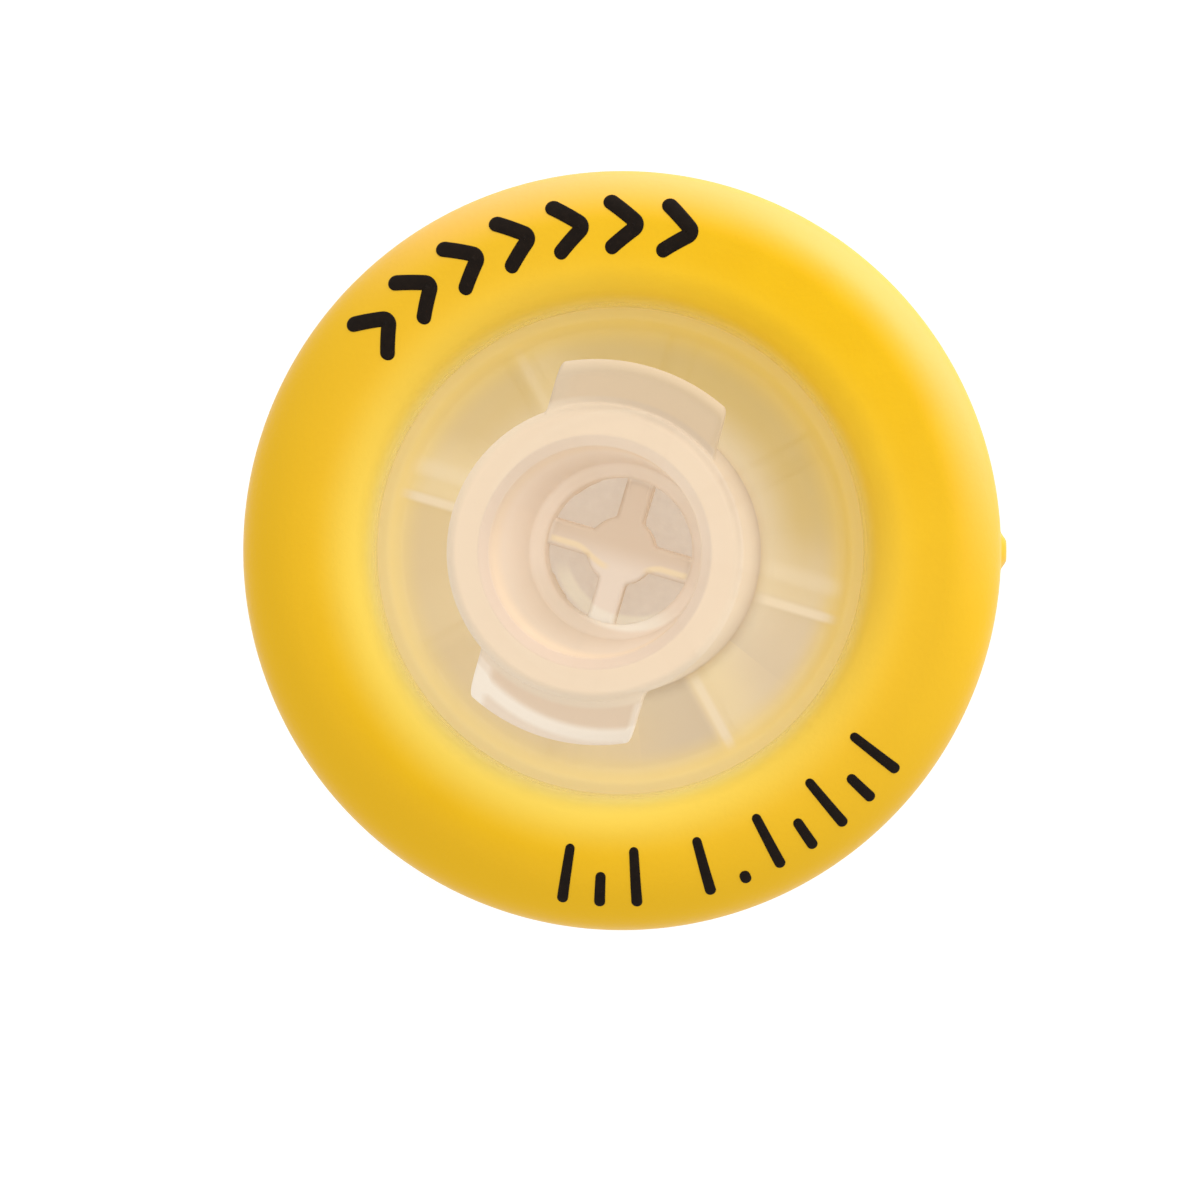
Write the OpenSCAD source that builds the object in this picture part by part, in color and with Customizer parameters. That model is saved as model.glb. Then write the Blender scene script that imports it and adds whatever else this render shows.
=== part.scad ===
// Syringe filter for a 13 mm membrane: female luer lock inlet, male luer slip outlet.
// Two moulded halves clamp the membrane, and an overmoulded ring binds their flanges.
// Millimetres. Z is the axis, the outlet tip stands on Z = 0 and the inlet opens upwards.

/* [Membrane] */
// Diameter of the membrane disc
membrane_d = 13; // [11:0.5:15]
// Thickness of the membrane
membrane_t = 0.15; // [0.1:0.05:0.4]
// Gap between the membrane's edge and the weld rim round it
membrane_gap = 0.1; // [0.05:0.05:0.2]

/* [Flow chamber] */
// Diameter of the wetted area, which is the chamber above the membrane and the drain below it
chamber_d = 9.84; // [9:0.1:10.2]
// Height of the chamber above the membrane, and of the ribs in it
chamber_h = 0.4; // [0.2:0.05:0.8]
// Number of radial ribs in the chamber roof
rib_count = 8; // [4:4:16]
// Width of a rib, and of a spoke of the cross web in the port
rib_w = 0.6; // [0.4:0.02:0.7]
// Turn of the first rib from +X
rib_turn = -16.5; // [-45:0.5:45]
// Depth of the drain below the membrane, and height of its ridges
drain_h = 0.35; // [0.2:0.05:0.6]
// Width of a drain ridge
ridge_w = 0.36; // [0.25:0.01:0.45]
// Radial pitch of the drain ridges
ridge_pitch = 0.8; // [0.7:0.05:1.2]
// Width of the radial channels that cut the ridges
channel_w = 0.5; // [0.3:0.05:0.7]

/* [Housing walls] */
// Thickness of the chamber roof, in the inlet window
roof_t = 0.7; // [0.5:0.05:1.2]
// Thickness of the drain floor, in the outlet window
floor_t = 0.7; // [0.5:0.05:1.2]
// Height of the land that stands round each window
land_h = 0.15; // [0.05:0.05:0.3]
// Width of the weld rim outside the membrane
rim_w = 0.8; // [0.6:0.1:1.2]
// Height of the weld rim above the membrane seat
rim_h = 0.45; // [0.3:0.05:0.6]
// Radial gap between the inlet half's spigot and the weld rim
spigot_gap = 0.05; // [0.02:0.01:0.08]

/* [Ring] */
// Wall of the ring outside the flanges
ring_wall = 0.9; // [0.7:0.1:1.5]
// Thickness of the ring's lips over and under the flanges
lip_t = 0.9; // [0.6:0.1:1.2]
// Diameter of the opening in each lip
window_d = 10.6; // [10.4:0.1:11.2]
// Radius of the ring's outer edges
ring_edge = 1.2; // [0.4:0.05:1.4]
// Width of the gate mark on the ring's side
gate_w = 0.9; // [0.4:0.1:1.2]
// How far the gate mark stands proud
gate_h = 0.12; // [0.05:0.01:0.3]

/* [Inlet hub] */
// Diameter of the luer bore at the mouth
mouth_d = 4.3; // [4.26:0.01:4.34]
// Depth of the luer bore, from the mouth to the bore floor
luer_depth = 7.5; // [6.5:0.1:8.5]
// Outer diameter of the hub at the mouth
hub_d = 6; // [5.6:0.1:6.4]
// Outer diameter of the hub where it meets the window
hub_root_d = 6.16; // [6.02:0.02:6.6]
// Fillet round the foot of the hub
hub_fillet = 0.3; // [0.2:0.05:0.5]
// Radius of the hub's outer edge at the mouth
hub_edge = 0.2; // [0.1:0.05:0.3]
// Lead-in chamfer of the luer bore
lead_in = 0.2; // [0.05:0.01:0.25]
// Height of the bore floor above the window
port_rise = 0.9; // [0.5:0.1:1.5]
// Height of the funnel from the bore floor to the port
port_funnel = 0.35; // [0.1:0.05:0.5]
// Diameter of the port below the bore floor
port_d = 3.2; // [2.8:0.1:3.4]
// Diameter of the boss where the cross web meets
boss_d = 1.5; // [0.8:0.1:1.8]
// Height of the cross web above the chamber roof
web_rise = 0.5; // [0.2:0.1:0.8]

/* [Lock lugs] */
// Diameter over the two lugs
lug_d = 7.8; // [7.6:0.05:7.9]
// Width of each lug between its two parallel ends
lug_w = 3.44; // [2.8:0.02:4]
// Radius of the lugs' outer corners
lug_corner = 0.25; // [0.1:0.05:0.4]
// Direction of the middle of the first lug, from +X
lug_turn = 74; // [0:1:180]
// Lead of the lock thread that the lugs follow
lug_lead = 5; // [4:0.5:6]
// Axial thickness of a lug at its crest
lug_crest = 0.7; // [0.6:0.05:0.9]
// Slope of the lug's underside, which the lock's thread pulls on
lug_flank = 25; // [15:1:30]
// Slope of the lug's upper side
lug_back = 5; // [0:1:15]
// Radius of the lug's crest edges
lug_edge = 0.28; // [0.1:0.01:0.29]
// Drop of the lugs' upper limit below the mouth
lug_drop = 0.15; // [0.05:0.05:0.4]

/* [Outlet tip] */
// Diameter of the luer tip at its end
tip_d = 3.97; // [3.93:0.01:3.99]
// Length of the luer tip
tip_l = 8; // [7.5:0.1:10]
// Bore through the tip
tip_bore = 2.1; // [1.6:0.1:2.4]
// Chamfer round the end of the tip
tip_chamfer = 0.15; // [0.05:0.05:0.3]
// Diameter of the shoulder above the tip
shoulder_d = 5.6; // [5.2:0.1:6.4]
// How far the shoulder stands out below the ring
shoulder_h = 0.6; // [0.3:0.1:1.5]
// Fillet where the tip runs into the shoulder
tip_fillet = 0.3; // [0.1:0.05:0.4]
// Diameter of the funnel's mouth in the drain floor
funnel_d = 2.7; // [2.5:0.1:3]

/* [Hidden] */
$fn = 96;

// Luer cones have a taper of 6 % on the diameter, so 3 % on the radius.
luer_taper = 0.03;
// More than the height of a lug, tilt and sloping sides together.
lug_height = 4;
// Overlap that keeps united or cut solids from ending on one plane.
eps = 0.01;

// Radii, from the axis outwards.
rim_in_r = membrane_d / 2 + membrane_gap;
spigot_r = rim_in_r - spigot_gap;
flange_r = rim_in_r + rim_w;
ring_r = flange_r + ring_wall;
window_r = window_d / 2;
chamber_r = chamber_d / 2;
hub_r = hub_d / 2;
mouth_r = mouth_d / 2;
bore_floor_r = mouth_r - luer_taper * luer_depth;
port_r = port_d / 2;
tip_r = tip_d / 2;
tip_root_r = tip_r + luer_taper * tip_l;

// How deep the gate mark's foot starts, so that its edge meets the round side.
gate_sink = ring_r - sqrt(ring_r ^ 2 - (gate_w / 2) ^ 2) + eps;

// Levels, from the tip upwards.
ring_z = tip_l + shoulder_h;
flange_z = ring_z + lip_t;
outlet_window_z = flange_z + land_h;
drain_z = outlet_window_z + floor_t;
seat_z = drain_z + drain_h;
clamp_z = seat_z + membrane_t;
rim_z = seat_z + rim_h;
roof_z = clamp_z + chamber_h;
inlet_window_z = roof_z + roof_t;
flange_top_z = inlet_window_z + land_h;
ring_top_z = flange_top_z + lip_t;
bore_floor_z = inlet_window_z + port_rise;
mouth_z = bore_floor_z + luer_depth;

// A rectangle in a half section, given by its corners.
module band(r0, z0, r1, z1) {
    translate([r0, z0]) square([r1 - r0, z1 - z0]);
}

// A concave fillet for a half section, in the corner between a face and a wall.
// up = 1 for a wall that rises from the face, -1 for a wall that drops from it.
module corner_fillet(wall_r, face_z, radius, up) {
    difference() {
        band(wall_r - eps, up > 0 ? face_z - eps : face_z - radius,
             wall_r + radius, up > 0 ? face_z + radius : face_z + eps);
        translate([wall_r + radius, face_z + up * radius]) circle(radius);
    }
}

// ---- Inlet half ----

// Half section of the inlet half, without its bore and chamber.
module inlet_section() {
    // Spigot that presses on the membrane inside the weld rim.
    band(0, clamp_z, spigot_r, rim_z + eps);
    // Flange that rests on the weld rim, and the land round the window.
    band(0, rim_z, flange_r, inlet_window_z);
    band(chamber_r, rim_z, flange_r, flange_top_z);
    hub_section();
    corner_fillet(hub_wall_r(inlet_window_z), inlet_window_z, hub_fillet, 1);
}

// Radius of the drafted hub wall at a level.
function hub_wall_r(z) =
    hub_root_d / 2 - (hub_root_d / 2 - hub_r) * (z - inlet_window_z) / (mouth_z - inlet_window_z);

// The hub narrows from its foot to the mouth, where its outer edge is rounded.
module hub_section() {
    shoulder_z = mouth_z - hub_edge;
    polygon([
        [0, inlet_window_z - eps], [hub_root_d / 2, inlet_window_z - eps],
        [hub_wall_r(shoulder_z), shoulder_z], [0, shoulder_z]
    ]);
    band(0, shoulder_z - eps, hub_r - hub_edge, mouth_z);
    translate([hub_r - hub_edge, shoulder_z]) circle(hub_edge);
}

// The luer cone with its lead-in, the funnel at its floor and the port below.
module inlet_bore() {
    rotate_extrude() polygon([
        [0, clamp_z - 1], [port_r, clamp_z - 1], [port_r, bore_floor_z - port_funnel],
        [bore_floor_r, bore_floor_z],
        [mouth_r - luer_taper * lead_in, mouth_z - lead_in], [mouth_r + lead_in, mouth_z],
        [mouth_r + lead_in, mouth_z + 1], [0, mouth_z + 1]
    ]);
}

// Plan of bars that run out from the axis, equally spaced from the first rib's turn.
module spokes(count, from_r, to_r) {
    for (i = [0 : count - 1])
        rotate(rib_turn + i * 360 / count)
            translate([from_r, -rib_w / 2]) square([to_r - from_r, rib_w]);
}

// Ribs that hang from the chamber roof round the port, and the boss and four spokes that cross it.
module ribs_and_web() {
    translate([0, 0, clamp_z]) {
        linear_extrude(chamber_h + eps) spokes(rib_count, port_r - eps, chamber_r + eps);
        linear_extrude(chamber_h + web_rise) {
            rotate(rib_turn + 45) circle(d = boss_d);
            spokes(4, 0, port_r + eps);
        }
    }
}

// One lug: a ring of lock thread, tilted to the lead about the lug's middle and cut to its plan.
module lug() {
    lug_r = lug_d / 2;
    tilt = atan(lug_lead / (PI * lug_d));
    // The lug's high end reaches the limit under the mouth.
    limit_z = mouth_z - lug_drop;
    middle_z = limit_z - lug_crest / 2 - lug_w / 2 * tan(tilt);
    intersection() {
        translate([0, 0, middle_z]) rotate([tilt, 0, 0]) rotate_extrude() lug_section(lug_r);
        translate([0, 0, limit_z - lug_height]) linear_extrude(lug_height) lug_plan(lug_r);
    }
}

// Plan of a lug about +X: parallel ends, and corners rounded where they meet the crest.
module lug_plan(lug_r) {
    corner_y = lug_w / 2 - lug_corner;
    corner_x = sqrt((lug_r - lug_corner) ^ 2 - corner_y ^ 2);
    polygon([[0, 0], [2 * corner_x, -2 * corner_y], [2 * corner_x, 2 * corner_y]]);
    translate([0, -lug_w / 2]) square([corner_x, lug_w]);
    for (side = [-1, 1])
        translate([corner_x, side * corner_y]) circle(lug_corner);
}

// Section of the lug's thread about its own level: two sloping sides and rounded crest edges.
module lug_section(lug_r) {
    root_r = hub_r - hub_edge - lead_in;
    crest_r = lug_r - lug_edge;
    half = lug_crest / 2;
    under = half + (crest_r - root_r) * tan(lug_flank);
    over = half + (crest_r - root_r) * tan(lug_back);
    polygon([[root_r, -under], [crest_r, -half], [crest_r, half], [root_r, over]]);
    band(crest_r - eps, lug_edge - half, lug_r, half - lug_edge);
    for (side = [-1, 1])
        translate([crest_r, side * (half - lug_edge)]) circle(lug_edge);
}

module inlet_housing() {
    color([0.93, 0.88, 0.80]) {
        difference() {
            union() {
                rotate_extrude() inlet_section();
                for (side = [0, 180]) rotate(lug_turn + side) lug();
            }
            inlet_bore();
            translate([0, 0, clamp_z - 1]) cylinder(h = chamber_h + 1, r = chamber_r);
        }
        ribs_and_web();
    }
}

// ---- Outlet half ----

// Half section of the outlet half, solid through its bore and drain.
module outlet_section() {
    polygon([
        [0, 0], [tip_r - tip_chamfer, 0], [tip_r + luer_taper * tip_chamfer, tip_chamfer],
        [tip_root_r, tip_l], [tip_root_r, tip_l + eps], [0, tip_l + eps]
    ]);
    band(0, tip_l, shoulder_d / 2, outlet_window_z + eps);
    corner_fillet(tip_root_r, tip_l, tip_fillet, -1);
    // Floor under the drain, the land round the window and the flange with its weld rim.
    band(0, outlet_window_z, flange_r, seat_z);
    band(chamber_r, flange_z, flange_r, seat_z);
    band(rim_in_r, seat_z - eps, flange_r, rim_z);
}

// The bore through the tip, and the funnel that gathers the filtrate from the drain.
module outlet_bore() {
    rotate_extrude() polygon([
        [0, -1], [tip_bore / 2, -1], [tip_bore / 2, outlet_window_z],
        [funnel_d / 2, drain_z], [funnel_d / 2, seat_z + 1], [0, seat_z + 1]
    ]);
}

// The drain's ridges are rings cut by radial channels, so that the filtrate runs to the funnel.
module drain_ridges() {
    ring_count = floor((chamber_r - funnel_d / 2 - ridge_w) / ridge_pitch);
    difference() {
        for (i = [1 : ring_count])
            ridge(chamber_r - i * ridge_pitch);
        for (i = [0 : rib_count - 1])
            rotate(rib_turn + i * 360 / rib_count)
                translate([0, -channel_w / 2, drain_z])
                    cube([chamber_r, channel_w, drain_h + 1]);
    }
}

// One ridge of the drain, inside the radius given.
module ridge(outer_r) {
    rotate_extrude() band(outer_r, drain_z - eps, outer_r + ridge_w, seat_z);
}

module outlet_housing() {
    color([0.93, 0.88, 0.80]) {
        difference() {
            rotate_extrude() outlet_section();
            outlet_bore();
            translate([0, 0, drain_z]) cylinder(h = drain_h + 1, r = chamber_r);
        }
        drain_ridges();
    }
}

// ---- Membrane ----

module membrane() {
    color("white")
        translate([0, 0, seat_z]) cylinder(h = membrane_t, d = membrane_d);
}

// ---- Ring ----

// A lip of the ring, from its round inner edge outwards. up = 1 for the upper lip, -1 for the lower.
module lip_section(face_z, up) {
    intersection() {
        union() {
            translate([window_r + lip_t, face_z]) circle(lip_t);
            band(window_r + lip_t, face_z - lip_t, ring_r - ring_edge, face_z + lip_t);
        }
        band(window_r, up > 0 ? face_z : face_z - lip_t, ring_r, up > 0 ? face_z + lip_t : face_z);
    }
}

// Half section of the ring: a rounded block, hollowed where it holds both flanges.
module ring_section() {
    difference() {
        union() {
            lip_section(flange_top_z, 1);
            lip_section(flange_z, -1);
            band(window_r + lip_t, ring_z, ring_r - ring_edge, ring_top_z);
            band(window_r + lip_t, ring_z + ring_edge, ring_r, ring_top_z - ring_edge);
            for (z = [ring_z + ring_edge, ring_top_z - ring_edge])
                translate([ring_r - ring_edge, z]) circle(ring_edge);
        }
        band(0, flange_z, flange_r, flange_top_z);
    }
}

// The mark left where the gate was broken off, half way up the ring's side.
module gate_mark() {
    translate([ring_r - gate_sink, 0, (ring_z + ring_top_z) / 2]) rotate([0, 90, 0])
        cylinder(h = gate_sink + gate_h, d1 = gate_w, d2 = gate_w / 2);
}

module overmould_ring() {
    color("gold") {
        rotate_extrude() ring_section();
        gate_mark();
    }
}

inlet_housing();
outlet_housing();
membrane();
overmould_ring();
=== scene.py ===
# %% [markdown]
# # A syringe filter, seen from its inlet
# The real object has four pieces: two halves moulded in natural polypropylene, the white membrane that they
# clamp, and a yellow ring moulded round their edges. Someone meets it as a coloured ring with a milky luer
# socket in the middle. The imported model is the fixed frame: it gives the levels and radii that all the
# surfaces below are worked out from, so nothing has to be fitted afterwards.

import math

import bmesh
import bpy
import numpy as np
from mathutils import Matrix, Vector


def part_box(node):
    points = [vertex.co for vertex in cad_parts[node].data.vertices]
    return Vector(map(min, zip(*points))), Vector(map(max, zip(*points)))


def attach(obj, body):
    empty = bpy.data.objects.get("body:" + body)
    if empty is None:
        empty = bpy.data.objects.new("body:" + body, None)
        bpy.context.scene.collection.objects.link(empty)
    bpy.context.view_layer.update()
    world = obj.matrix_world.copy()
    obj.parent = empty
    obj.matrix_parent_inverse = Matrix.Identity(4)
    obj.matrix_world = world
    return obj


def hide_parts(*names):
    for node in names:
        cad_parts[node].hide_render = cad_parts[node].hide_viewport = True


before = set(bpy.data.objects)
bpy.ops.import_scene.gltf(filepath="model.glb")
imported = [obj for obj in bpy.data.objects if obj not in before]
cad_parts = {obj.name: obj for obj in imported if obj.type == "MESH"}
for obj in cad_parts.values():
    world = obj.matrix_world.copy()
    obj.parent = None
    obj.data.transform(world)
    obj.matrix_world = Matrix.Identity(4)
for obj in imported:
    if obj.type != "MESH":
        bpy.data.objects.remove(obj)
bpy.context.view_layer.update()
scene = bpy.context.scene
print("frame:", sorted(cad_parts))

# %% [markdown]
# ## Sizes
# A moulder thinks in millimetres, so every size here is one, and a surface is turned into metres only when
# it becomes a mesh. The main levels and radii are read from the frame. The wall sizes beside them are the
# ones that the halves are moulded to.


# %% Levels and radii
def corners_mm(node):
    """The lowest and highest corner of a node of the frame, in millimetres."""
    low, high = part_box(node)
    return np.array(low) * 1000, np.array(high) * 1000


ring_low, ring_high = corners_mm("overmould_ring")
inlet_low, inlet_high = corners_mm("inlet_housing")
outlet_high = corners_mm("outlet_housing")[1]
membrane_low, membrane_high = corners_mm("membrane")

# Radii, and the two gaps between the halves and the membrane.
membrane_gap = 0.1
spigot_gap = 0.05
ring_r = -ring_low[0]
flange_r = inlet_high[1]
membrane_r = membrane_high[1]
rim_in_r = membrane_r + membrane_gap
spigot_r = rim_in_r - spigot_gap
window_r = 5.3
chamber_r = 4.92
port_r = 1.6
floor_r = 1.925
mouth_r = 2.15
hub_r = 3.0
hub_root_r = 3.08

# Heights, and the levels that they lead to, from the tip upwards.
lip = 0.9
land = 0.15
drain_h = 0.35
chamber_h = 0.4
port_rise = 0.9
ring_z = ring_low[2]
ring_top_z = ring_high[2]
flange_z = ring_z + lip
flange_top_z = ring_top_z - lip
outlet_window_z = flange_z + land
seat_z = membrane_low[2]
drain_z = seat_z - drain_h
clamp_z = inlet_low[2]
rim_z = outlet_high[2]
roof_z = clamp_z + chamber_h
window_z = flange_top_z - land
bore_floor_z = window_z + port_rise
mouth_z = inlet_high[2]

# Radii of the edges that a moulder calls sharp: outside, and in a narrow place.
sharp = 0.05
fine = 0.03
print("ring %.2f mm across, %.2f mm thick; hub mouth at %.2f mm" % (2 * ring_r, ring_top_z - ring_z, mouth_z))

# %% [markdown]
# ## Camera
# The viewer looks straight down into the luer socket, a little from the right. The camera stands 107 mm from
# the hub, near enough for the hub's mouth to look larger than its foot. The lens is worked out from how
# much of the scene the frame should take in at the ring, and the object sits slightly above and to the
# right of the middle.

# %% Place the camera
mm = 0.001
lean = math.radians(3.55)
rise = math.radians(0.18)
camera_reach = 107.0
hub_middle_z = 12.6
frame_width = 26.0
sensor = 36.0
off_centre = (-0.394, -1.06)

camera_data = bpy.data.cameras.new("camera")
camera_data.sensor_width = sensor
camera_data.lens = sensor * camera_reach / frame_width
camera_data.clip_start = 0.001
camera = bpy.data.objects.new("camera", camera_data)
scene.collection.objects.link(camera)

up = Vector((0, 1, 0))
outward = Vector((math.sin(lean), math.sin(rise), math.cos(lean))).normalized()
across = up.cross(outward).normalized()
along = outward.cross(across)
hub_middle = Vector((0, 0, hub_middle_z * mm))
eye = hub_middle + outward * camera_reach * mm
aim = hub_middle + (across * off_centre[0] + along * off_centre[1]) * mm
back = (eye - aim).normalized()
right = up.cross(back).normalized()
camera.matrix_world = Matrix.Translation(eye) @ Matrix((right, back.cross(right), back)).transposed().to_4x4()
scene.camera = camera
print("lens %.1f mm, camera %.0f mm from the hub" % (camera_data.lens, camera_reach))

# %% [markdown]
# ## Light
# A small translucent part looks best in a light tent: white from all sides, and one lamp near the upper
# right that gives the ring its bright shoulder and the far side its slight fall in brightness. The ring's
# colour adds a painted highlight on that shoulder and painted shade on the far side. The world is the
# tent. The lamp stands close, so that its light falls off across the ring.

# %% Light the table
scene.view_settings.view_transform = "Standard"

tent = bpy.data.worlds.new("tent")
scene.world = tent
tent.use_nodes = True
tent_light = tent.node_tree.nodes["Background"]
tent_level = 0.9
tent_light.inputs["Color"].default_value = (1, 1, 1, 1)
tent_light.inputs["Strength"].default_value = tent_level


def lamp(name, place, size, watts):
    """A square soft lamp at a place in millimetres, turned towards the hub."""
    data = bpy.data.lights.new(name, "AREA")
    data.energy = watts
    data.size = size * mm
    lamp_object = bpy.data.objects.new(name, data)
    scene.collection.objects.link(lamp_object)
    lamp_object.location = Vector(place) * mm
    lamp_object.rotation_euler = (lamp_object.location - hub_middle).to_track_quat("Z", "Y").to_euler()
    print("%s: %.2f W at %s mm" % (name, watts, place))


lamp("key_lamp", (62, 76, 34), 60, 0.05)

# %% [markdown]
# ## Surfaces from outlines
# Every moulding here is turned about one axis, so each begins as an outline in a half section: radius and
# level. Real moulded corners are never sharp. The first helper rounds each corner with an arc and keeps a
# point close to the end of every straight, so that flats shade flat. The second turns a grid of points
# into a closed mesh and checks which way its faces point by the sign of its volume.


# %% Round an outline
def rounded(corners, closed=False, turn=9.0, finest=0.03, hold=0.04, longest=0.7):
    """Points along an outline with rounded corners, each given as (r, z, radius).

    The arc of a corner starts radius * tan(bend / 2) before it. With u from the arc's centre to its start
    and w along the outline there, both as long as the radius, its points are centre + u cos t + w sin t.
    It has a step for every turn degrees, or for every finest millimetres where that makes fewer, and at
    least two. A straight has a point at the distance hold from each end, and between them steps of at
    most longest.
    """
    corners = np.array(corners, float)
    arcs = []
    for i, radius in enumerate(corners[:, 2]):
        here = corners[i, :2]
        if radius == 0 or (not closed and i in (0, len(corners) - 1)):
            arcs.append(here[None])
            continue
        to_last = corners[i - 1, :2] - here
        to_next = corners[(i + 1) % len(corners), :2] - here
        to_last /= np.linalg.norm(to_last)
        to_next /= np.linalg.norm(to_next)
        bend = math.pi - math.acos(np.clip(to_last @ to_next, -1, 1))
        start = here + to_last * radius * math.tan(bend / 2)
        middle = to_last + to_next
        centre = here + middle / np.linalg.norm(middle) * radius / math.cos(bend / 2)
        steps = math.ceil(min(math.degrees(bend) / turn, bend * radius / finest))
        t = np.linspace(0, bend, 1 + max(2, steps))[:, None]
        arcs.append(centre + (start - centre) * np.cos(t) - to_last * radius * np.sin(t))
    points = []
    for i, arc in enumerate(arcs):
        points.append(arc)
        if i == len(arcs) - 1 and not closed:
            break
        start, end = arc[-1], arcs[(i + 1) % len(arcs)][0]
        length = np.linalg.norm(end - start)
        if length > 3 * hold:
            steps = np.linspace(hold, length - hold, 1 + math.ceil((length - 2 * hold) / longest))[:, None]
            points.append(start + (end - start) * steps / length)
    return np.concatenate(points)


# %% Skin a grid of points
def skin(name, *grids, closed_rows=True):
    """A mesh over grids of points (rows, columns, 3) in millimetres, where the last column joins the first.

    The last row joins the first too, or else each of them shrinks to a point, as the poles of a solid disc.
    The volume is the sum of a . (b x c) / 6 over the triangles. Where it is negative, the faces are turned.
    """
    faces, volume, first = [], 0, 0
    for grid in grids:
        number = np.arange(grid[..., 0].size).reshape(grid.shape[:2])
        here = number if closed_rows else number[:-1]
        after = np.roll(number, -1, axis=0) if closed_rows else number[1:]
        quads = np.stack([here, np.roll(here, -1, 1), np.roll(after, -1, 1), after], -1).reshape(-1, 4)
        a, b, c, d = (grid.reshape(-1, 3)[quads[:, k]] for k in range(4))
        signed = (np.einsum("ij,ij", a, np.cross(b, c)) + np.einsum("ij,ij", a, np.cross(c, d))) / 6
        faces.append(first + (quads if signed > 0 else quads[:, ::-1]))
        volume += abs(signed)
        first += number.size
    mesh = bpy.data.meshes.new(name)
    mesh.from_pydata(np.concatenate([grid.reshape(-1, 3) for grid in grids]) * mm, [], np.concatenate(faces))
    if not closed_rows:
        merged = bmesh.new()
        merged.from_mesh(mesh)
        bmesh.ops.remove_doubles(merged, verts=merged.verts, dist=1e-7)
        merged.to_mesh(mesh)
        merged.free()
    mesh.polygons.foreach_set("use_smooth", np.ones(len(mesh.polygons), bool))
    piece = bpy.data.objects.new(name, mesh)
    scene.collection.objects.link(piece)
    print("%s: %d faces, %.1f mm3" % (name, len(mesh.polygons), volume))
    return piece


def turned(r, z, angle):
    """Points at radius r and level z in the direction of an angle: (r cos angle, r sin angle, z)."""
    r, z, angle = np.broadcast_arrays(r, z, angle)
    return np.stack([r * np.cos(angle), r * np.sin(angle), z], -1)


# %% [markdown]
# ## The yellow ring
# The ring is moulded over the clamped flanges in one shot. Its outer edges are rounded with more than a
# millimetre, the opening round each window has a quarter-round lip, and a gate mark stands a tenth
# of a millimetre proud on its side. The mark is a bump on the turned surface: the columns of the grid
# crowd together there, so that its small foot is as smooth as the rest. Halfway up runs the parting line,
# where the two halves of the mould miss each other by about a hundredth of a millimetre. A sliver of air
# between ring and flange keeps two surfaces from lying in one place, where they would flicker.


# %% Mould the ring
def smooth(x, low, high):
    """0 below low, 1 above high, and a smooth S of 3t^2 - 2t^3 between."""
    t = np.clip((x - low) / (high - low), 0, 1)
    return t * t * (3 - 2 * t)


ring_columns = 480
ring_edge = 1.2
ring_mid_z = (ring_z + ring_top_z) / 2
gate_w = 0.9
gate_h = 0.12
air = 0.004
lip_foot = 0.02
lip_turn = lip - lip_foot - 2 * air
parting = 0.02
mismatch = 0.012
side_steps = 0.08 * np.arange(1, 9)

ring_outline = rounded([
    (window_r, ring_top_z, lip_turn),
    (window_r, flange_top_z + air, lip_foot),
    (flange_r + air, flange_top_z + air, sharp),
    (flange_r + air, flange_z - air, sharp),
    (window_r, flange_z - air, lip_foot),
    (window_r, ring_z, lip_turn),
    (ring_r, ring_z, ring_edge),
    *[(ring_r, ring_mid_z - step, 0) for step in side_steps[::-1]],
    (ring_r, ring_mid_z - parting / 2, 0),
    (ring_r, ring_mid_z + parting / 2, 0),
    *[(ring_r, ring_mid_z + step, 0) for step in side_steps],
    (ring_r, ring_top_z, ring_edge),
], closed=True, turn=5, longest=0.25)
share = np.arange(ring_columns) / ring_columns
crowding = 0.6
ring_angle = 2 * math.pi * share - crowding * np.sin(2 * math.pi * share)
r, z = ring_outline[:, :1], ring_outline[:, 1:]
on_side = r > ring_r - 0.001

# The distance from the gate's middle. The last term takes the opposite side of the ring out of its reach.
opposite = np.cos(ring_angle) < 0
from_gate = np.hypot(z - ring_mid_z, ring_r * np.sin(ring_angle) + 2 * ring_r * opposite)
gate = gate_h * (1 - smooth(from_gate, gate_w / 5, gate_w / 2))
upper_half = smooth(r, window_r + lip, ring_r) * smooth(z, ring_mid_z - parting / 4, ring_mid_z + parting / 4)
ring = skin("ring", turned(r + on_side * gate - mismatch * upper_half, z, ring_angle))
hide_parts("overmould_ring")
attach(ring, "root")

# %% [markdown]
# ## The inlet half
# This moulding carries nearly everything that shows: the luer hub with its two locking lugs, the clear window
# round it, and the ribs under the window that hold the membrane down. One closed grid is wrapped round all of
# it. Its rows run down the outside, round the flange, across the chamber roof and back up the bore. Its
# columns are free to slide round the axis, because sliding does not change a turned surface. So they crowd
# at the lugs' ends on the hub, and follow the ribs' edges on the roof.

# %% Columns that follow the lugs and the ribs
rib_count = 8
rib_turn = math.radians(-16.5)
rib_half_w = 0.3
rib_edge = 0.05
rib_h = 0.38
lug_turn = math.radians(74)
sector_columns = 50
columns = rib_count * sector_columns
sector = 2 * math.pi / rib_count
column = np.arange(columns)
even_angle = rib_turn + column * sector / sector_columns


def nearest(angle, first, pitch):
    """How far an angle lies from the nearest of the directions first, first + pitch and so on."""
    return (angle - first + pitch / 2) % pitch - pitch / 2


def lug_columns():
    """Columns that crowd at the lugs' ends: half lie between 22 and 40 degrees from a lug's middle."""
    off = nearest(even_angle, lug_turn, math.pi)
    share = abs(off) / (math.pi / 2)
    crowded = np.radians(np.interp(share, [0, 0.2, 0.7, 1], [0, 22, 40, 90]))
    return even_angle - off + np.sign(off) * crowded


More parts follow.
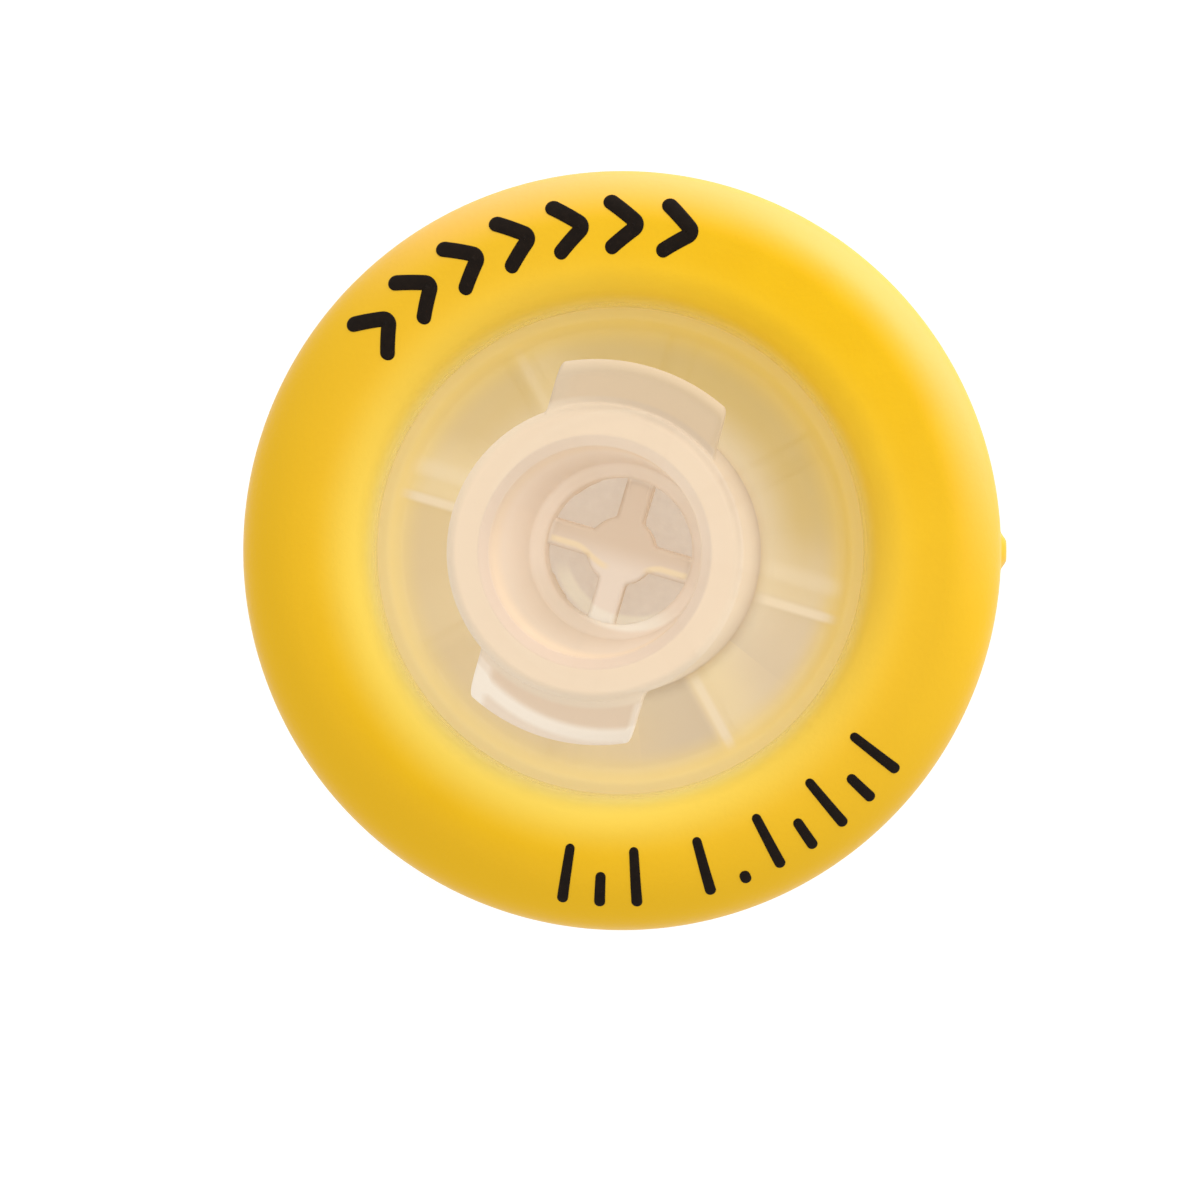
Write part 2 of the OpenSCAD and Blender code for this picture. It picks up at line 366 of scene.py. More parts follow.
def rib_columns(r, half_w):
    """Columns that follow bars of a half width.

    They keep a fixed distance from the bar's middle up to its edge, and spread evenly from there to the
    middle of the pocket. An offset d at radius r stands at the angle asin(d / r).
    """
    off = nearest(even_angle, rib_turn, sector)
    share = abs(off) / (sector / 2)
    d = np.interp(share, [0, 0.2, 0.5], [0, half_w - rib_edge, half_w + rib_edge])
    beside = np.arcsin(np.minimum((half_w + rib_edge) / r, 1))
    pocket = beside + (share - 0.5) / 0.5 * (sector / 2 - beside)
    followed = np.where(share < 0.5, np.arcsin(np.minimum(d / r, 1)), pocket)
    return even_angle - off + np.sign(off) * followed


print("%d columns round the axis, %d to a rib" % (columns, sector_columns))

# %% The hub's wall and its lugs
hub_edge = 0.2
shoulder_z = mouth_z - hub_edge
lug_w = 3.44
lug_r = 3.9
lug_half = 0.35
lug_edge = 0.28
lug_corner = 0.18
lug_foot = 0.1
lug_fillet = 0.2
lug_drop = 0.15
lug_lead = 5.0
lug_lean = lug_lead / (2 * math.pi * lug_r)
lug_mid_z = mouth_z - lug_drop - lug_half - lug_w / 2 * lug_lean
back_slope = math.tan(math.radians(5))
flank_slope = math.tan(math.radians(25))


def hub_wall(z):
    """Radius of the hub's outside: an even draft up to the shoulder, and a quarter circle at the mouth."""
    drafted = hub_r + (hub_root_r - hub_r) * (shoulder_z - z) / (shoulder_z - window_z)
    arc = hub_r - hub_edge + np.sqrt(np.maximum(hub_edge ** 2 - np.maximum(z - shoulder_z, 0) ** 2, 0))
    return np.where(z > shoulder_z, arc, drafted)


def soft_min(a, b, width):
    """The smaller of a and b, with their crossing rounded: min(a, b) - (width - |a - b|)^2 / (4 width)."""
    return np.minimum(a, b) - np.maximum(width - abs(a - b), 0) ** 2 / (4 * width)


def lug_rows(angle):
    """Rows over the lug's section, as radius and level.

    Its height above the hub is limited by the lug's two parallel ends, which stand at lug_w / 2 from its
    middle line, so at radius lug_w / (2 sin angle). Its level leans with the thread.
    """
    top_foot = lug_half + (lug_r - lug_edge - hub_r) * back_slope
    low_foot = lug_half + (lug_r - lug_edge - hub_r) * flank_slope
    section = rounded([
        (hub_r, top_foot + sharp, 0),
        (hub_r, top_foot, sharp),
        (lug_r, lug_half - lug_edge * back_slope, lug_edge),
        (lug_r, -lug_half + lug_edge * flank_slope, lug_edge),
        (hub_r, -low_foot, lug_fillet),
        (hub_r, -low_foot - lug_fillet, 0),
    ], turn=10, hold=0.05, longest=0.3)
    height, offset = section[:, :1] - hub_r, section[:, 1:]
    off = nearest(angle, lug_turn, math.pi)
    to_end = lug_w / 2 / np.maximum(abs(np.sin(off)), 0.01) - hub_r
    to_end = -soft_min(-to_end, 0, lug_foot)
    height = soft_min(height, to_end, 0.001 + lug_corner * np.minimum(height / 0.4, 1))
    height = np.maximum(height, 0)
    fade = 1 - smooth(abs(off), math.radians(38), math.radians(80))
    sideways = np.clip((hub_r + height) * np.sin(off), -lug_w / 2, lug_w / 2)
    z = lug_mid_z + offset + lug_lean * sideways * fade
    return hub_wall(z) + height, z


print("lugs %.2f mm across and %.2f mm wide, %.2f mm below the mouth" % (2 * lug_r, lug_w, lug_drop))

# %% Rows down the hub's outside
foot_h = 0.4
row_gap = 0.02


def outside_rows(angle):
    """Rows down the hub's outside: the rounded mouth, the wall above the lugs, the lugs, the wall below.

    Where a lug's top row lies on the rounded mouth, the mouth's arc ends there, at the angle stop.
    """
    lug_radius, lug_z = lug_rows(angle)
    top_z, low_z = lug_z[0], lug_z[-1]
    stop = np.arcsin(np.clip((top_z - shoulder_z) / hub_edge, 0, 1))
    arc_length = hub_edge * (math.pi / 2 - stop)
    length = arc_length + np.maximum(shoulder_z - top_z, 0)
    way = np.linspace(0, 0.95, 15)[:, None] * length
    a = math.pi / 2 - way / hub_edge
    on_arc = way < arc_length
    upper_z = np.where(on_arc, shoulder_z + hub_edge * np.sin(a), shoulder_z - (way - arc_length))
    upper_r = np.where(on_arc, hub_r - hub_edge + hub_edge * np.cos(a), hub_wall(upper_z))
    share = np.linspace(0.06, 1, 12)[:, None]
    lower_z = low_z + (window_z + foot_h + row_gap - low_z) * share
    return (np.concatenate([upper_r, lug_radius, hub_wall(lower_z)]),
            np.concatenate([upper_z, lug_z, lower_z]))


# %% Outlines of the flange and the bore
hub_fillet = 0.3
slope_half_w = 0.15
slope_edge = 0.2
funnel_h = 0.35
port_foot_z = roof_z + 0.1
lead_in = 0.2
luer_taper = 0.03

flange_path = rounded([
    (hub_wall(window_z + foot_h).item(), window_z + foot_h, 0),
    (hub_root_r, window_z, hub_fillet),
    (chamber_r - slope_half_w, window_z, slope_edge),
    (chamber_r + slope_half_w, flange_top_z, slope_edge),
    (flange_r, flange_top_z, sharp),
    (flange_r, rim_z, sharp),
    (spigot_r, rim_z, sharp),
    (spigot_r, clamp_z, sharp),
    (chamber_r, clamp_z, 0),
], turn=15, longest=0.5)
bore_path = rounded([
    (port_r, port_foot_z, 0),
    (port_r, bore_floor_z - funnel_h, 0.25),
    (floor_r, bore_floor_z, 0.3),
    (mouth_r - luer_taper * lead_in, mouth_z - lead_in, sharp),
    (mouth_r + lead_in, mouth_z, sharp),
    (hub_r - hub_edge - 0.03, mouth_z, 0),
], turn=10, longest=0.6)
print("flange: %d rows, bore: %d rows" % (len(flange_path), len(bore_path)))


# %% Wrap one grid round the inlet half
def roof_level(r, angle):
    """Level of the chamber's roof: a rib hangs from it within half a rib's width of its middle line."""
    aside = abs(r * np.sin(nearest(angle, rib_turn, sector)))
    return roof_z - rib_h * (1 - smooth(aside, rib_half_w - rib_edge, rib_half_w + rib_edge))


def inlet_grid():
    """All rows of the inlet half, as a closed loop round its section.

    The columns crowd at the lugs on the hub, spread evenly over the window and round the flange, follow the
    ribs across the roof and up the port, and go back through even ones to the lugs' at the mouth.
    """
    crowded = lug_columns()
    outer_r, outer_z = outside_rows(crowded)
    rows = [turned(outer_r, outer_z, crowded)]
    r, z = flange_path[:, :1], flange_path[:, 1:]
    level_out = smooth(r, hub_root_r + 0.3, chamber_r - 0.1) + (z < rim_z + 0.2)
    angle = crowded + np.minimum(level_out, 1) * (even_angle - crowded)
    follow = smooth(-r, -spigot_r, -chamber_r) * (z < clamp_z + 0.01)
    angle = angle + follow * (rib_columns(r, rib_half_w) - angle)
    rows.append(turned(r, z, angle))
    r = np.full((2, 1), chamber_r)
    angle = rib_columns(r, rib_half_w)
    wall_z = clamp_z + (roof_level(r, angle) - clamp_z) * np.array([[0.4], [0.8]])
    rows.append(turned(r, wall_z, angle))
    r = np.concatenate([[chamber_r, chamber_r - 0.04], np.linspace(4.7, 1.8, 11), [port_r + 0.04, port_r]])
    r = r[:, None]
    angle = rib_columns(r, rib_half_w)
    rows.append(turned(r, roof_level(r, angle), angle))
    rows.append(turned(port_r, (roof_level(port_r, angle[-1:]) + port_foot_z) / 2, angle[-1:]))
    r, z = bore_path[:, :1], bore_path[:, 1:]
    follow = 1 - smooth(z, port_foot_z, bore_floor_z + 3)
    crowd = smooth(r, mouth_r + lead_in, hub_r - hub_edge) * (z > mouth_z - 0.01)
    angle = even_angle + follow * (rib_columns(r, rib_half_w) - even_angle) + crowd * (crowded - even_angle)
    rows.append(turned(r, z, angle))
    return np.concatenate(rows)


inlet = skin("inlet", inlet_grid())

# %% [markdown]
# ## The cross web
# Four of the ribs run on through the port and meet at a round boss, a cross that spreads the flow and
# stops the membrane from lifting into the port. It is a flat solid with an outline in polar form: the
# larger of the boss's circle and the spoke's side, whose radius is the half width over the sine of the
# angle from the spoke. A Boolean modifier unites it with the moulding.

# %% Add the web to the port
web_top_z = roof_z + 0.5
web_reach = port_r + 0.06
boss_r = 0.75
web_columns = 192
web_edge = 0.1


def web_outline(inset, angle):
    """Radius of the web's outline in a direction, with every side moved in by an inset."""
    off = abs(nearest(angle, rib_turn, math.pi / 2))
    spoke = np.minimum((rib_half_w - inset) / np.maximum(np.sin(off), 0.01), web_reach)
    return -soft_min(-spoke, -(boss_r - inset), 0.1)


def web_angles():
    """Columns of the web: a quarter at the spokes' ends, half along their sides and a quarter on the boss."""
    turn = rib_turn + np.arange(web_columns) * 2 * math.pi / web_columns
    off = nearest(turn, rib_turn, math.pi / 2)
    share = abs(off) / (math.pi / 4)
    corner = math.asin(rib_half_w / web_reach)
    meeting = math.asin(rib_half_w / boss_r)
    return turn - off + np.sign(off) * np.interp(share, [0, 0.25, 0.75, 1], [0, corner, meeting, math.pi / 4])


def web_grid():
    """Rows from the middle of the top over the rounded edge and down the side to the middle underneath."""
    angle = web_angles()
    quarter = np.linspace(0, math.pi / 2, 6)
    insets = web_edge * (1 - np.sin(quarter))
    levels = web_top_z - web_edge * (1 - np.cos(quarter))
    low_z = clamp_z + 0.03
    rim = [(web_outline(i, angle), z) for i, z in zip(insets, levels)]
    foot = [(web_outline(0, angle), z) for z in (web_top_z - 0.3, web_top_z - 0.6, low_z)]
    shares = (0, 0.3, 0.6, 0.85)
    top = [(rim[0][0] * share, web_top_z) for share in shares]
    under = [(foot[-1][0] * share, low_z) for share in reversed(shares)]
    return np.stack([turned(r, z, angle) for r, z in [*top, *rim, *foot, *under]])


def unite(piece, other):
    """Joins another closed solid to a piece with a Boolean modifier, and applies it to the piece's mesh."""
    modifier = piece.modifiers.new("unite", "BOOLEAN")
    modifier.operation = "UNION"
    modifier.solver = "MANIFOLD"
    modifier.object = other
    bpy.context.view_layer.update()
    evaluated = piece.evaluated_get(bpy.context.evaluated_depsgraph_get())
    united = bpy.data.meshes.new_from_object(evaluated)
    piece.modifiers.clear()
    piece.data = united
    bpy.data.objects.remove(other)
    print("%s: %d faces after the union" % (piece.name, len(united.polygons)))


web = skin("web", web_grid(), closed_rows=False)
unite(inlet, web)
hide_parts("inlet_housing")
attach(inlet, "root")

# %% [markdown]
# ## The outlet half
# The lower half is the luer slip tip, a shoulder and a floor with a drain. Ring-shaped ridges carry the
# membrane, and eight channels cut them so that the filtrate runs to the funnel. The ridges are part of the
# turned outline, and a channel lowers them to the floor within half its width of a rib's line.

# %% Mould the outlet half
tip_r = 1.985
tip_root_r = 2.225
tip_l = 8.0
tip_bore_r = 1.05
shoulder_r = 2.8
funnel_r = 1.35
ridge_w = 0.36
ridge_pitch = 0.8
channel_half_w = 0.25
tip_edge = 0.12
tip_fillet = 0.3

ridge_steps = []
for number in range(1, 5):
    ridge_r = chamber_r - number * ridge_pitch + ridge_w
    ridge_steps += [
        (ridge_r, drain_z, fine),
        (ridge_r, seat_z, fine),
        (ridge_r - ridge_w, seat_z, fine),
        (ridge_r - ridge_w, drain_z, fine),
    ]
outlet_path = rounded([
    (tip_bore_r, 0, sharp),
    (tip_r, 0, tip_edge),
    (tip_root_r, tip_l, tip_fillet),
    (shoulder_r, tip_l, tip_edge),
    (shoulder_r, outlet_window_z, tip_edge),
    (chamber_r, outlet_window_z, sharp),
    (chamber_r, flange_z, sharp),
    (flange_r, flange_z, sharp),
    (flange_r, rim_z, sharp),
    (rim_in_r, rim_z, sharp),
    (rim_in_r, seat_z, sharp),
    (chamber_r, seat_z, fine),
    (chamber_r, drain_z, fine),
    *ridge_steps,
    (funnel_r, drain_z, fine),
    (tip_bore_r, outlet_window_z, 0.1),
], closed=True, turn=15, hold=0.02, longest=0.7)
r, z = outlet_path[:, :1], outlet_path[:, 1:]
in_drain = (z > drain_z - 0.001) & (r < chamber_r - 0.1)
near_drain = smooth(z, outlet_window_z, drain_z) * (r < rim_in_r)
angle = even_angle + near_drain * (rib_columns(r, channel_half_w) - even_angle)
aside = abs(r * np.sin(nearest(angle, rib_turn, sector)))
kept = smooth(aside, channel_half_w - rib_edge, channel_half_w + rib_edge)

# A channel's floor keeps a fiftieth of the ridges' height, so that no two rows of the grid coincide.
z = np.where(in_drain, drain_z + (z - drain_z) * np.maximum(kept, 0.02), z)
outlet = skin("outlet", turned(r, z, angle))
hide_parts("outlet_housing")
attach(outlet, "root")

# %% [markdown]
# ## The membrane
# A disc of white nylon, thin as paper, that the two halves clamp at its edge. It lies between the ridges and
# the ribs, and shows as the pale ground behind the window and in the pockets of the web. The outline runs
# from the axis to the rounded edge and back, and its two ends are poles. The same sliver of air is left at
# its faces.

# %% Cut the membrane
disc_r = membrane_r - 0.005
membrane_path = rounded([
    (0, clamp_z - air, 0),
    (disc_r, clamp_z - air, sharp),
    (disc_r, seat_z + air, sharp),
    (0, seat_z + air, 0),
], turn=15, longest=0.5)
membrane = skin("filter_membrane", turned(membrane_path[:, :1], membrane_path[:, 1:], even_angle[::2]),
                closed_rows=False)
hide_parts("membrane")
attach(membrane, "root")

# %% [markdown]
# ## The print
# Two short rows of marks are printed in black on the ring: seven bold chevrons over the top, which point the
# way the fitting turns to lock, and a finer row of ticks and a dot under it. Each mark is a stroke with round
# ends: a section carried along a short path, a few hundredths of a millimetre thick, which follows the
# ring's rounded face.

# %% Print the marks
ink_h = 0.02
bold_w = 0.33
fine_w = 0.22
mark_h = 1.3
print_r = 7.05


def ring_level(r):
    """Level of the ring's upper face at a radius: flat, with a quarter circle at each edge."""
    inner = np.maximum(window_r + lip - r, 0)
    outer = np.maximum(r - (ring_r - ring_edge), 0)
    return (ring_top_z - (lip - np.sqrt(lip ** 2 - np.minimum(inner, lip) ** 2))
            - (ring_edge - np.sqrt(ring_edge ** 2 - np.minimum(outer, ring_edge) ** 2)))


def stroke(path, width):
    """A printed stroke along a path of (u, v) points, as places in (u, v, height).

    Its section is carried along the path. Past each end it goes on for half its width while it narrows as
    the cosine of an angle, so that the end is a half circle.
    """
    step = np.gradient(path, axis=0)
    step /= np.linalg.norm(step, axis=1)[:, None]
    swing = np.radians([18, 36, 54, 72, 90])[:, None]
    tail = path[0] - step[0] * width / 2 * np.sin(swing[::-1])
    head = path[-1] + step[-1] * width / 2 * np.sin(swing)
    middle = np.concatenate([tail, path, head])
    along_path = np.concatenate([np.repeat(step[:1], 5, 0), step, np.repeat(step[-1:], 5, 0)])
    narrow = np.concatenate([np.cos(swing[::-1]), np.ones((len(path), 1)), np.cos(swing)])
    sideways = np.stack([-along_path[:, 1], along_path[:, 0]], -1)
    section = np.array([(-1, -1), (-1, 0.4), (-0.8, 1), (0, 1.1), (0.8, 1), (1, 0.4), (1, -1)])
    spread = middle[:, None] + sideways[:, None] * (narrow * section[:, 0] * width / 2)[..., None]
    return np.concatenate([spread, (narrow * section[:, 1] * ink_h)[..., None]], -1)


def on_ring(mark, direction, facing):
    """Lays a mark in (u, v, height) on the ring. v runs outwards where facing is 1, and inwards at -1."""
    u, v, height = mark[..., 0], mark[..., 1], mark[..., 2]
    r = print_r + facing * v
    angle = math.radians(direction) - facing * u / print_r
    return turned(r, ring_level(r) + height, angle)


def line(*corners):
    """A path through corners (u, v, radius) with points close enough to bend over the ring's edge."""
    return rounded(corners, turn=12, hold=0.03, longest=0.1)


bold_end = (mark_h - bold_w) / 2
fine_end = (mark_h - fine_w) / 2
chevron = line((-0.28, -bold_end, 0), (0.32, 0, 0.12), (-0.28, bold_end, 0))
tick = line((0, -fine_end, 0), (0, fine_end, 0))
short_tick = line((0, -fine_end, 0), (0, 0, 0))
dot = line((0, -fine_end, 0), (0, 0.06 - fine_end, 0))
marks = [on_ring(stroke(chevron, bold_w), direction, 1) for direction in np.linspace(137, 79, 7)]
lower_row = [tick, short_tick, tick, None, tick, dot, tick, short_tick, tick, short_tick, tick]
for place, path in zip(np.linspace(261, 322, len(lower_row)), lower_row):
    if path is not None:
        marks.append(on_ring(stroke(path, fine_w), place, -1))
print_marks = skin("print_marks", *marks, closed_rows=False)
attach(print_marks, "root")

# %% [markdown]
# ## Shader maths
# A finish is a formula over places on the surface. One small class wraps a socket, so that a formula is
# written as Python arithmetic and every operator adds its Math node. Another makes a material and adds every
# other kind of node through one method.


# %% Sockets that do arithmetic
class Value:
    """An output socket of a material. Arithmetic with it adds Math nodes."""

    def __init__(self, finish, socket):
        self.finish = finish
        self.socket = socket

    def math(self, operation, *values):
        """A Math node's result for some numbers or values."""
        return self.finish.add("ShaderNodeMath", {"operation": operation}, values)

    def __add__(self, other):
        return self.math("ADD", self, other)

    def __sub__(self, other):
        return self.math("SUBTRACT", self, other)

    def __rsub__(self, other):
        return self.math("SUBTRACT", other, self)

    def __mul__(self, other):
        return self.math("MULTIPLY", self, other)

    def __truediv__(self, other):
        return self.math("DIVIDE", self, other)

    def __abs__(self):
        return self.math("ABSOLUTE", self)

    def __lt__(self, other):
        return self.math("LESS_THAN", self, other)

    __radd__ = __add__
    __rmul__ = __mul__


# %% Materials that know places on the object
class Finish:
    """A material: its Principled shader, places on the object in millimetres, and nodes added one by one."""

    def __init__(self, name, **constants):
        self.material = bpy.data.materials.new(name)
        self.material.use_nodes = True
        self.tree = self.material.node_tree
        self.shader = self.tree.nodes["Principled BSDF"]
        for key, value in constants.items():
            self.shader.inputs[key.replace("_", " ")].default_value = value
        metres = self.add("ShaderNodeTexCoord", {}, {}, "Object")
        self.place = self.add("ShaderNodeVectorMath", {"operation": "SCALE"}, {0: metres, "Scale": 1000})
        self.x, self.y, self.z = (self.add("ShaderNodeSeparateXYZ", {}, [self.place], axis) for axis in "XYZ")
        square = self.x * self.x + self.y * self.y
        self.r = square.math("SQRT", square)
        self.angle = self.x.math("ARCTAN2", self.y, self.x)

    def add(self, kind, settings, values, output=0):
        """A node of a kind, with its settings made first, then its sockets, which take numbers or values."""
        node = self.tree.nodes.new(kind)
        for key, value in settings.items():
            setattr(node, key, value)
        for key, value in values.items() if isinstance(values, dict) else enumerate(values):
            self.put(node.inputs[key], value)
        return Value(self, node.outputs[output])

    def put(self, socket, value):
        """Sets a socket to a number or colour, or links a value to it."""
        if isinstance(value, Value):
            self.tree.links.new(value.socket, socket)
        else:
            socket.default_value = value

    def step(self, value, low, high):
        """0 where a value is below low and 1 above high, with a smooth S between."""
        settings = {"interpolation_type": "SMOOTHSTEP"}
        return self.add("ShaderNodeMapRange", settings, [value, low, high, 0.0, 1.0])

    def near(self, value, middle, half, soft):
        """1 within half of the middle, falling smoothly to 0 at half plus soft."""
        return 1 - self.step(abs(value - middle), half, half + soft)

    def mix(self, share, start, end):
        """A colour that is start where the share is 0 and end where it is 1."""
        return self.add("ShaderNodeMix", {"data_type": "RGBA"}, {0: share, 6: start, 7: end}, 2)

    def noise(self, per_mm, detail=2.0):
        """Noise from 0 to 1, with so many bumps to a millimetre."""
        return self.add("ShaderNodeTexNoise", {}, {"Vector": self.place, "Scale": per_mm, "Detail": detail})

    def towards(self, direction):
        """How far a place lies from the axis in a direction, in millimetres."""
        return self.x * math.cos(direction) + self.y * math.sin(direction)

    def facing(self, direction):
        """The cosine of the angle between a place and a direction: 1 on that side and -1 on the other."""
        return self.towards(direction) / self.r

    def far_from(self, direction):
        """0 on the side of a direction and 1 opposite: half of one minus the cosine of the angle between."""
        return 0.5 - 0.5 * self.facing(direction)

    def crescent(self):
        """A painted highlight round the port's far side, on a circle whose middle lies 0.31 mm off the axis.
        """
        arc_r = self.r + 0.31 * self.facing(math.radians(205))
        return self.near(arc_r, 1.7, 0.09, 0.12) * self.step(self.facing(math.radians(252)), 0.4, 0.75)

    def carries_light(self):
        """1 for the rays that carry light on to other surfaces, and 0 for the eye and for mirrors."""
        return at_most_one(self.ray("Is Diffuse Ray") + self.ray("Is Shadow Ray"))

    def ray(self, kind):
        """1 for the rays of one kind, and 0 for all others."""
        return self.add("ShaderNodeLightPath", {}, {}, kind)

    def bump(self, height, distance):
        """Relief of a height from 0 to 1 that stands for a distance in millimetres."""
        normal = self.add("ShaderNodeBump", {}, {"Height": height, "Distance": distance * mm})
        self.put(self.shader.inputs["Normal"], normal)

    def paint(self, **values):
        """Links values to the shader's sockets."""
        for key, value in values.items():
            self.put(self.shader.inputs[key.replace("_", " ")], value)

    def cover(self, piece):
        """Gives the material to a piece."""
        piece.data.materials.clear()
        piece.data.materials.append(self.material)
        print("%s: %s, %d nodes" % (piece.name, self.material.name, len(self.tree.nodes)))


# %% Limits and colours
def at_most_one(value):
    """A value, or 1 where it is more."""
    return value.math("MINIMUM", value, 1.0)


def shown(red, green, blue):
    """A colour as a screen shows it, from 0 to 255, in the linear light that shaders work in."""
    share = np.array((red, green, blue)) / 255
    linear = np.where(share > 0.04045, ((share + 0.055) / 1.055) ** 2.4, share / 12.92)
    return (*linear.tolist(), 1.0)


# %% [markdown]
# ## Yellow polypropylene
# The ring is a satin yellow. Its inner lip is thin and lies on the milky flange, so the yellow is painted
# paler there, and on the side away from the lamp that paler colour is painted glow of the light coming
# through the lip. The outer face is painted darker on the side away from the lamp and paler across it, and
# the shoulder towards the lamp carries a painted highlight. At the lip the alpha also lets the light
# through, which keeps the corner between lip and flange from turning black, and the last thin edge is clear
# for the eye too. The mould's fine spark texture breaks up the shine.

# %% Finish the ring
lamp_side = math.radians(51)

yellow = Finish("yellow_polypropylene", IOR=1.49, Specular_IOR_Level=0.14)
away = yellow.far_from(lamp_side)
along_light = yellow.facing(lamp_side)
mottle = yellow.noise(0.9, 3.0)
body = yellow.mix(mottle, shown(244, 190, 10), shown(252, 200, 18))
# Painted light and shade: the ring is paler on the sides across the lamp, and its outer face is darker on the
# side away from the lamp.
body = yellow.mix(0.4 * (1 - along_light * along_light), body, shown(247, 198, 68))
body = yellow.mix(away * yellow.step(yellow.r, 6.2, 7.2), body, shown(235, 184, 27))
# Painted highlight: a pale band on the rounded shoulder towards the lamp.
painted_rim_highlight = yellow.step(yellow.r, 7.1, 8.2) * yellow.step(yellow.facing(math.radians(65)), 0.2, 0.85)
painted_rim_highlight = painted_rim_highlight * yellow.step(yellow.z, ring_top_z - 1.2, ring_top_z - 0.5)
body = yellow.mix(0.55 * painted_rim_highlight, body, shown(255, 203, 140))

# %% Finish the ring's lip
# Painted glow: the inner lip is paler, most of all on the side away from the lamp, as light coming through
# the thin lip.
lip_glow_colour = yellow.mix(yellow.step(yellow.r, 5.2, 5.7), shown(255, 228, 124), shown(255, 226, 104))
lip_glow = 0.15 + 0.85 * away + 0.3 * (1 - yellow.step(yellow.r, 5.3, 5.6))
lip_glow = lip_glow * (1 - yellow.step(yellow.r, 5.3, 6.7))
clear_foot = 1 - yellow.step(yellow.r, 5.3, 5.75)
thin_lip = 1 - yellow.step(yellow.r, 6.0, 7.2)
yellow.paint(Base_Color=yellow.mix(lip_glow, body, lip_glow_colour), Roughness=0.33 + 0.08 * yellow.noise(3.0),
             Alpha=(1 - 0.7 * clear_foot) * (1 - thin_lip * yellow.carries_light()))
yellow.bump(yellow.noise(9.0, 3.0) * yellow.step(yellow.r, 5.4, 6.2), 0.006)
yellow.cover(ring)

# %% [markdown]
# ## Ink
# The print is pad-printed ink: nearly black, warm rather than blue, and matt, with a faint grain where the
# film is thinner. It lies on the yellow, so it needs a finish of its own.

# %% Finish the print
ink = Finish("black_ink", Roughness=0.6, Specular_IOR_Level=0.1)
ink.paint(Base_Color=ink.mix(ink.noise(6.0, 3.0), shown(16, 10, 6), shown(34, 24, 16)))
ink.bump(ink.noise(12.0), 0.004)
ink.cover(print_marks)

# %% [markdown]
# ## Natural polypropylene
# Undyed polypropylene is milky. It scatters light forwards, so a wall lets most of the light through, and the
# eye still sees little of what is behind it. The alpha says both: it is high for the eye, and low for the
# rays that carry light on, so that the bore and the chamber are lit through their walls.

# %% Start the milky finish
natural = Finish("natural_polypropylene", IOR=1.49, Specular_IOR_Level=0.12)
far = natural.far_from(lamp_side)
along_light = natural.facing(lamp_side)
crossing = 1 - along_light * along_light
above = natural.step(natural.z, window_z + 0.1, window_z + 0.5)
hub_mask = at_most_one(1 - natural.step(natural.r, 2.95, 3.1) + above)
print("milky finish: %d nodes for its places" % len(natural.tree.nodes))

# %% [markdown]
# ## Light in the window
# The window is painted with the yellow light of the ring round it, yellower on the lamp's side, and with
# painted glow towards the hub's foot and in one sector. Painted light runs through the flat roof away from
# the lamp and gathers before each rib that lies across its way. A painted bright line marks where it comes
# out, and the next sector starts with painted shade. A place's distance past the nearest rib, counted away
# from the lamp, gives that sawtooth.

# %% Places in the window
fold = natural.add("ShaderNodeMath", {"operation": "FLOORED_MODULO"},
                   [natural.angle - (rib_turn - sector / 2), sector]) - sector / 2
from_rib = natural.r * fold.math("SINE", fold)
left_of_lamp = natural.towards(lamp_side + math.pi / 2)
past_rib = from_rib * left_of_lamp.math("SIGN", left_of_lamp)
on_roof = natural.near(natural.z, window_z, 0.12, 0.1) * natural.near(natural.r, 4.0, 0.55, 0.5)
print("a sector is %.0f degrees, and the ribs start at %.1f" % (math.degrees(sector), math.degrees(rib_turn)))

# %% Colour the window
lit_sector_side = math.radians(-45)
dim_side = math.radians(-85)
lit_sector = natural.step(natural.facing(lit_sector_side), 0.55, 1.0)
foot_glow = 1 - natural.step(natural.r, 3.0, 4.1)
# Painted light: the window is yellower on the lamp's side and paler on the far side, and one sector is
# painted paler still.
window = natural.mix(far, shown(225, 192, 110), shown(238, 210, 158))
window = natural.mix(0.8 * lit_sector, window, shown(236, 213, 179))
# Painted glow round the hub's foot, strongest on the lamp's side.
window = natural.mix(foot_glow * (0.75 - 0.5 * far), window, shown(245, 224, 188))
# Painted light gathering before each rib, counted away from the lamp.
gathered_light = natural.step(past_rib, -1.7, -0.4) * (1 - natural.step(past_rib, -0.1, 0.15))
window = natural.mix(gathered_light * crossing * (0.3 + 0.7 * far), window, shown(255, 229, 172))
# Painted shade: each sector starts dim just past its rib.
dim = natural.step(past_rib, 0, 0.2) * (1 - natural.step(past_rib, 0.6, 2.4))
dim = dim * crossing * natural.step(natural.facing(dim_side), 0.5, 0.95)
window = natural.mix(0.7 * dim, window, shown(214, 192, 160))
# Painted light: the yellow of the ring's light near the ring, paler on the far side.
ring_bounce_light = natural.mix(far, shown(249, 208, 88), shown(255, 225, 146))
window = natural.mix(natural.step(natural.r, 4.3, 5.1), window, ring_bounce_light)
# Painted glow: the yellow of the lip's light on the land below it, paler away from the lamp.
lip_glow_on_land = natural.mix(far * far, shown(255, 206, 60), shown(255, 226, 112))
window = natural.mix(natural.step(natural.r, 5.2, 5.7), window, lip_glow_on_land)
print("window: %d nodes so far" % len(natural.tree.nodes))

# %% Draw the painted bright lines of the ribs
line_drift = 0.3
drift_side = math.radians(-40)
down_side = rib_turn - math.pi / 2
drift = drift_side - natural.angle + fold
from_line = from_rib - line_drift * drift.math("SINE", drift)
# Painted highlight: a bright line along each rib, strongest on ribs across the lamp and weak on the lamp's
# side.
line_light = crossing * crossing * (0.2 + 1.05 * natural.step(natural.facing(down_side), -0.7, -0.1))
rib_glint = on_roof * line_light * natural.near(from_line, 0, 0.04, 0.11)
